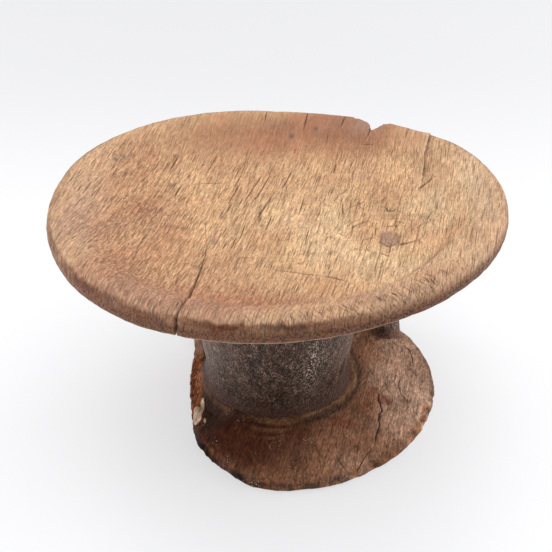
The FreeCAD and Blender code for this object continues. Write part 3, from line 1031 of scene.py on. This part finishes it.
def tint(red, green, blue):
    """A screen colour, 0 to 255 each, as the linear colour that Blender works in."""
    screen = np.array((red, green, blue)) / 255
    linear = np.where(screen < 0.04045, screen / 12.92, ((screen + 0.055) / 1.055) ** 2.4)
    return (*linear, 1.0)


class Nodes:
    """Short calls for the shader nodes of a material or a world."""

    def __init__(self, owner):
        owner.use_nodes = True
        self.tree = owner.node_tree

    def add(self, kind, **settings):
        node = self.tree.nodes.new(kind)
        for key, value in settings.items():
            setattr(node, key, value)
        return node

    def link(self, value, socket):
        """Joins an output to a socket, or gives the socket a fixed value."""
        if isinstance(value, bpy.types.NodeSocket):
            self.tree.links.new(value, socket)
        else:
            socket.default_value = value

    def mapped(self, place, **settings):
        """A place after it is moved, turned and scaled."""
        node = self.add("ShaderNodeMapping")
        for key, value in settings.items():
            node.inputs[key].default_value = value
        self.link(place, node.inputs["Vector"])
        return node.outputs["Vector"]

    def cut(self, value, low, high, first=0.0, last=1.0, shape="SMOOTHSTEP"):
        """The first value below low, the last above high, and a slope between them."""
        node = self.add("ShaderNodeMapRange", interpolation_type=shape)
        self.link(value, node.inputs["Value"])
        for key, setting in (("From Min", low), ("From Max", high), ("To Min", first), ("To Max", last)):
            node.inputs[key].default_value = setting
        return node.outputs["Result"]

    def combine(self, operation, first, second):
        node = self.add("ShaderNodeMath", operation=operation)
        self.link(first, node.inputs[0])
        self.link(second, node.inputs[1])
        return node.outputs[0]

    def times(self, first, second):
        return self.combine("MULTIPLY", first, second)

    def plus(self, first, second):
        return self.combine("ADD", first, second)


class Wood(Nodes):
    """One procedural wood material; its colour is built up coat by coat."""

    def __init__(self, name):
        self.material = bpy.data.materials.new(name)
        super().__init__(self.material)
        self.tree.nodes.clear()
        self.place = self.mapped(self.add("ShaderNodeTexCoord").outputs["Object"], Rotation=(0, 0, TURN))
        self.colour = None

    def noise(self, size, seed, detail=2.0, low=0.0, high=1.0):
        """Noise about size millimetres wide across, along and down the grain, cut from low to high."""
        scale = tuple(1 / (MM * length) for length in size)
        place = self.mapped(self.place, Scale=scale, Location=(seed * 7.31, seed * 3.17, seed * 5.71))
        texture = self.add("ShaderNodeTexNoise")
        self.link(place, texture.inputs["Vector"])
        for key, setting in (("Scale", 1.0), ("Detail", detail), ("Roughness", 0.6)):
            texture.inputs[key].default_value = setting
        return self.cut(texture.outputs["Fac"], low, high, shape="LINEAR")

    def paint(self, name, strength=1.0):
        node = self.add("ShaderNodeAttribute", attribute_name=name)
        return self.times(node.outputs["Fac"], strength)

    def mix(self, share, first, second):
        """Two colours mixed; a colour is an output, or three screen values from 0 to 255."""
        node = self.add("ShaderNodeMix", data_type="RGBA")
        for slot, value in ((0, share), (6, first), (7, second)):
            self.link(tint(*value) if isinstance(value, tuple) else value, node.inputs[slot])
        return node.outputs[2]

    def shaded(self, colour, share, amount):
        """The colour made darker or lighter by noise: share 0.5 leaves it alone."""
        swing = self.plus(self.times(self.plus(self.times(share, 2), -1), amount), 1)
        node = self.add("ShaderNodeVectorMath", operation="SCALE")
        self.link(tint(*colour)[:3] if isinstance(colour, tuple) else colour, node.inputs[0])
        self.link(swing, node.inputs["Scale"])
        return node.outputs[0]

    def coat(self, share, colour):
        """Lays a colour over the wood's own, as strongly as share says."""
        self.colour = self.mix(share, self.colour, colour)

    def shade(self, *shades):
        """Makes the wood's own colour darker or lighter by one (noise, amount) after another."""
        for share, amount in shades:
            self.colour = self.shaded(self.colour, share, amount)

    def finish(self, roughness, height, relief, specular):
        """Ends the material; height runs from 0 to 1 and relief is its size in millimetres."""
        shader = self.add("ShaderNodeBsdfPrincipled")
        bumps = self.add("ShaderNodeBump")
        bumps.inputs["Distance"].default_value = relief * MM
        self.link(height, bumps.inputs["Height"])
        self.link(bumps.outputs["Normal"], shader.inputs["Normal"])
        self.link(self.colour, shader.inputs["Base Color"])
        self.link(roughness, shader.inputs["Roughness"])
        shader.inputs["Specular IOR Level"].default_value = specular
        output = self.add("ShaderNodeOutputMaterial")
        self.link(shader.outputs["BSDF"], output.inputs["Surface"])
        return self.material


def seat_wood():
    """Bare, handled wood, tan in the worn middle and darker and redder towards the rim; its tones also hold
    painted light, lighter at the near right and darker at the far side and the left.
    """
    wood = Wood("seat wood")
    tone = wood.paint("tone")
    crisp = wood.paint("crisp")
    bands = wood.noise((14, 220, 60), 1, 1.0, 0.25, 0.75)
    streaks = wood.noise((1.8, 45, 20), 2, 2.0, 0.3, 0.7)
    mottle = wood.noise((22, 26, 22), 3, 3.0, 0.25, 0.75)
    blotches = wood.noise((4, 6, 5), 4, 2.0, 0.25, 0.75)
    flecks = wood.noise((0.9, 9.0, 3.0), 5, 2.0, 0.3, 0.7)
    crumbs = wood.noise((0.9, 2.2, 1.4), 11, 2.0, 0.3, 0.7)
    wood.colour = wood.mix(wood.cut(tone, 0.0, 0.5), (168, 117, 86), (206, 162, 120))
    wood.coat(wood.cut(tone, 0.5, 1.0), (230, 196, 152))
    wood.shade((bands, 0.08), (streaks, 0.1), (mottle, 0.13), (blotches, 0.08))
    wood.shade((flecks, wood.times(crisp, 0.5)), (crumbs, wood.times(crisp, 0.36)))
    wood.coat(wood.times(wood.noise((30, 40, 30), 6, 2.0, 0.45, 0.75), 0.35), (198, 130, 90))
    wood.coat(wood.paint("grey", 0.5), (182, 152, 136))
    worn = wood.cut(tone, -0.1, 0.45)
    pores = wood.noise((0.7, 16.0, 5.0), 7, 1.0, 0.57, 0.68)
    patchy = wood.noise((24, 24, 24), 10, 1.0, 0.4, 0.6)
    lines = wood.times(wood.noise((1.1, 42.0, 9.0), 8, 0.0, 0.68, 0.78), patchy)
    fine_pores = wood.times(pores, wood.plus(wood.times(worn, 0.4), wood.times(crisp, 0.6)))
    open_grain = wood.combine("MAXIMUM", fine_pores, wood.times(lines, worn))
    wood.coat(wood.times(open_grain, 0.66), (104, 58, 34))
    light_lines = wood.times(wood.noise((0.8, 5.0, 2.2), 9, 0.0, 0.56, 0.74), crisp)
    wood.coat(wood.times(light_lines, 0.28), (246, 222, 176))
    stain = wood.mix(wood.noise((5, 5, 3), 12, 3.0, 0.35, 0.65), (58, 22, 11), (122, 62, 34))
    # Of these coats, crease is painted shade, under is painted shade on the rim's outer face, light is
    # painted highlights, and shade is painted shade along with real dark spots.
    for name, strength, colour in (
        ("crease", 0.9, wood.shaded((126, 95, 82), crumbs, 0.3)),
        ("knot", 0.62, wood.shaded((150, 116, 104), crumbs, 0.3)),
        ("torn", 0.7, (136, 110, 94)),
        ("under", 0.92, wood.shaded((98, 57, 38), crumbs, 1.3)),
        ("band", 0.9, wood.shaded(stain, crumbs, 0.6)),
        ("light", 0.7, (236, 204, 162)),
        ("shade", 0.65, (92, 66, 54)),
        ("cut", 0.9, (62, 36, 24)),
    ):
        wood.coat(wood.paint(name, strength), colour)
    roughness = wood.plus(wood.times(mottle, 0.15), 0.58)
    grain = wood.plus(wood.times(flecks, 0.3), wood.times(open_grain, -0.8))
    return wood.finish(roughness, grain, relief=0.2, specular=0.25)


def patina(name, seed, foot_tones):
    """Dark, smoke-blackened and handled wood, with its own two tones near the foot."""
    wood = Wood(name)
    cloud = wood.noise((16, 16, 22), seed, 3.0, 0.25, 0.75)
    grain = wood.noise((1.4, 1.4, 16), seed + 1, 2.0, 0.3, 0.7)
    speckle = wood.noise((1.1, 1.1, 1.5), seed + 2, 3.0, 0.3, 0.7)
    blotches = wood.noise((4.5, 4.5, 6), seed + 5, 2.0, 0.3, 0.7)
    bright_dots = wood.noise((0.8, 0.8, 0.8), seed + 3, 0.0, 0.68, 0.76)
    pits = wood.noise((1.1, 1.1, 1.5), seed + 7, 1.0, 0.56, 0.68)
    crumbs = wood.noise((0.95, 0.95, 0.95), seed + 6, 0.0, 0.62, 0.68)
    scuffs = wood.noise((0.9, 0.9, 6.0), seed + 8, 1.0, 0.58, 0.7)
    worn = wood.noise((7, 7, 9), seed + 4, 2.0, 0.35, 0.65)
    wood.colour = wood.mix(cloud, (34, 23, 19), (82, 58, 48))
    wood.shade((grain, 0.3))
    dust = wood.times(wood.cut(speckle, 0.3, 1.0), wood.plus(wood.times(worn, 0.45), 0.12))
    wood.coat(dust, (158, 128, 108))
    # Painted sheen: lighter patches, and on the column its sides as seen from the front.
    wood.coat(wood.paint("sheen", 0.6), (138, 112, 98))
    wood.coat(wood.times(scuffs, wood.times(worn, 0.4)), (160, 136, 122))
    wood.shade((speckle, 0.85), (blotches, 0.5))
    wood.coat(wood.times(pits, 0.45), (22, 15, 13))
    # Painted glints: fine bright dots over the dark wood.
    wood.coat(wood.times(bright_dots, 0.5), (186, 164, 144))
    wood.coat(wood.paint("foot", 0.9), wood.mix(speckle, *foot_tones))
    # speck: on the column, painted glints at its right front; on the strut, scattered pale specks.
    wood.coat(wood.times(wood.paint("speck", 0.95), crumbs), (244, 232, 214))
    wood.coat(wood.paint("cut", 0.85), (24, 16, 12))
    roughness = wood.plus(wood.times(cloud, 0.2), 0.45)
    height = wood.plus(wood.times(grain, 0.4), wood.times(speckle, 0.6))
    return wood.finish(roughness, height, relief=0.3, specular=0.3)


def base_wood():
    """Red-brown wood, lighter at the right with dust and painted light, darker at the left front with painted
    shade, and with a raw break along the left.
    """
    wood = Wood("base wood")
    tone = wood.paint("tone")
    cloud = wood.noise((18, 30, 20), 31, 3.0, 0.25, 0.75)
    streaks = wood.noise((1.2, 24, 8), 32, 2.0, 0.28, 0.72)
    speckle = wood.noise((0.95, 3.6, 1.2), 33, 2.0, 0.3, 0.7)
    blotches = wood.noise((4, 7, 5), 38, 2.0, 0.25, 0.75)
    fibres = wood.noise((0.9, 7, 1.6), 34, 2.0, 0.38, 0.62)
    wood.colour = wood.mix(wood.cut(tone, 0.0, 0.5), (80, 40, 22), (140, 98, 72))
    wood.coat(wood.cut(tone, 0.5, 1.0), (182, 145, 120))
    wood.shade((cloud, 0.36), (streaks, 0.32), (speckle, 0.52), (blotches, 0.36))
    raw = wood.shaded(wood.mix(fibres, (62, 26, 13), (186, 112, 66)), speckle, 0.5)
    raw = wood.mix(wood.paint("weathered", 0.85), raw, wood.shaded((170, 134, 110), speckle, 0.2))
    for name, strength, colour in (
        ("red", 0.6, wood.shaded((128, 68, 48), speckle, 0.4)),
        ("shade", 0.85, wood.shaded((34, 15, 8), speckle, 0.5)),
        ("collar", 0.8, wood.mix(speckle, (98, 64, 38), (176, 132, 90))),
        ("torn", 0.92, raw),
        ("chip", 0.85, wood.shaded((160, 98, 58), fibres, 0.45)),
    ):
        wood.coat(wood.paint(name, strength), colour)
    # Painted shade on the base's edge face.
    wood.coat(wood.times(wood.paint("edge", 0.7), wood.noise((6, 8, 6), 35, 2.0, 0.35, 0.6)), (40, 24, 18))
    # Painted shade under the thin edge at the left front.
    wood.coat(wood.paint("black", 0.9), (24, 12, 8))
    wood.coat(wood.paint("fresh"), wood.mix(fibres, (204, 166, 128), (252, 232, 206)))
    bright_dots = wood.noise((0.8, 0.8, 0.8), 36, 0.0, 0.72, 0.78)
    wood.coat(wood.times(bright_dots, wood.noise((14, 14, 14), 37, 1.0, 0.55, 0.68)), (206, 190, 168))
    wood.coat(wood.paint("cut", 0.9), (28, 15, 10))
    roughness = wood.plus(wood.times(cloud, 0.15), 0.6)
    height = wood.plus(wood.times(streaks, 0.4), wood.times(speckle, 0.6))
    return wood.finish(roughness, height, relief=0.35, specular=0.15)


# ---------------------------------------------------------------- the room

def make_floor():
    """A wide pale board under the object that glows, with a painted shadow: it glows a little less near the
    object, and less far behind it.
    """
    mesh = bpy.data.meshes.new("floor")
    corners = [(x * FLOOR_HALF, y * FLOOR_HALF, 0) for x, y in ((-1, -1), (1, -1), (1, 1), (-1, 1))]
    mesh.from_pydata(corners, [], [(0, 1, 2, 3)])
    floor = bpy.data.objects.new("floor", mesh)
    bpy.context.scene.collection.objects.link(floor)
    material = bpy.data.materials.new("floor board")
    board = Nodes(material)
    place = board.add("ShaderNodeTexCoord").outputs["Object"]
    split = board.add("ShaderNodeSeparateXYZ")
    board.link(place, split.inputs[0])
    distance = board.add("ShaderNodeVectorMath", operation="LENGTH")
    board.link(board.mapped(place, Scale=FLOOR_OVAL, Location=FLOOR_SHIFT), distance.inputs[0])
    # Painted shadow: the board glows less in the oval round the object.
    near_object = board.cut(distance.outputs["Value"], *FLOOR_NEAR)
    far_behind = board.cut(split.outputs["Y"], *FLOOR_FAR)
    shader = board.tree.nodes["Principled BSDF"]
    for key, value in (
        ("Base Color", FLOOR_GREY), ("Roughness", 0.9), ("Specular IOR Level", 0.0),
        ("Emission Color", (1.0, 1.0, 1.01, 1.0)),
        ("Emission Strength", board.times(near_object, far_behind)),
    ):
        board.link(value, shader.inputs[key])
    mesh.materials.append(material)


def aim(thing, target):
    """Turns a camera or a lamp towards a place."""
    direction = Vector(target) - thing.location
    thing.rotation_euler = direction.to_track_quat("-Z", "Y").to_euler()


def make_light():
    """A tent of light, bright overhead and dim near the horizon, and three lamps."""
    world = bpy.data.worlds.new("studio")
    tent = Nodes(world)
    background = tent.tree.nodes["Background"]
    background.inputs["Color"].default_value = tint(250, 251, 255)
    split = tent.add("ShaderNodeSeparateXYZ")
    tent.link(tent.add("ShaderNodeTexCoord").outputs["Generated"], split.inputs[0])
    tent.link(tent.cut(split.outputs["Z"], *TENT_GLOW), background.inputs["Strength"])
    bpy.context.scene.world = world
    for name, kind, place, size, power in LAMPS:
        lamp = bpy.data.lights.new(name, kind)
        lamp.energy = power
        setattr(lamp, "angle" if kind == "SUN" else "size", size)
        holder = bpy.data.objects.new(name, lamp)
        holder.location = place
        aim(holder, LAMP_TARGET)
        bpy.context.scene.collection.objects.link(holder)
    bpy.context.scene.view_settings.view_transform = "Standard"


def make_camera():
    lens = bpy.data.cameras.new("camera")
    lens.sensor_width = 36.0
    lens.lens = CAMERA_LENS
    camera = bpy.data.objects.new("camera", lens)
    camera.location = CAMERA_PLACE
    aim(camera, CAMERA_TARGET)
    camera.rotation_euler.rotate_axis("Z", -CAMERA_ROLL)
    bpy.context.scene.collection.objects.link(camera)
    bpy.context.scene.camera = camera


make_seat(seat_wood())
make_column(patina("column wood", 11, ((44, 22, 14), (92, 56, 38))))
make_strut(patina("strut wood", 21, ((94, 58, 42), (150, 108, 86))))
make_base(base_wood())
make_floor()
make_light()
make_camera()
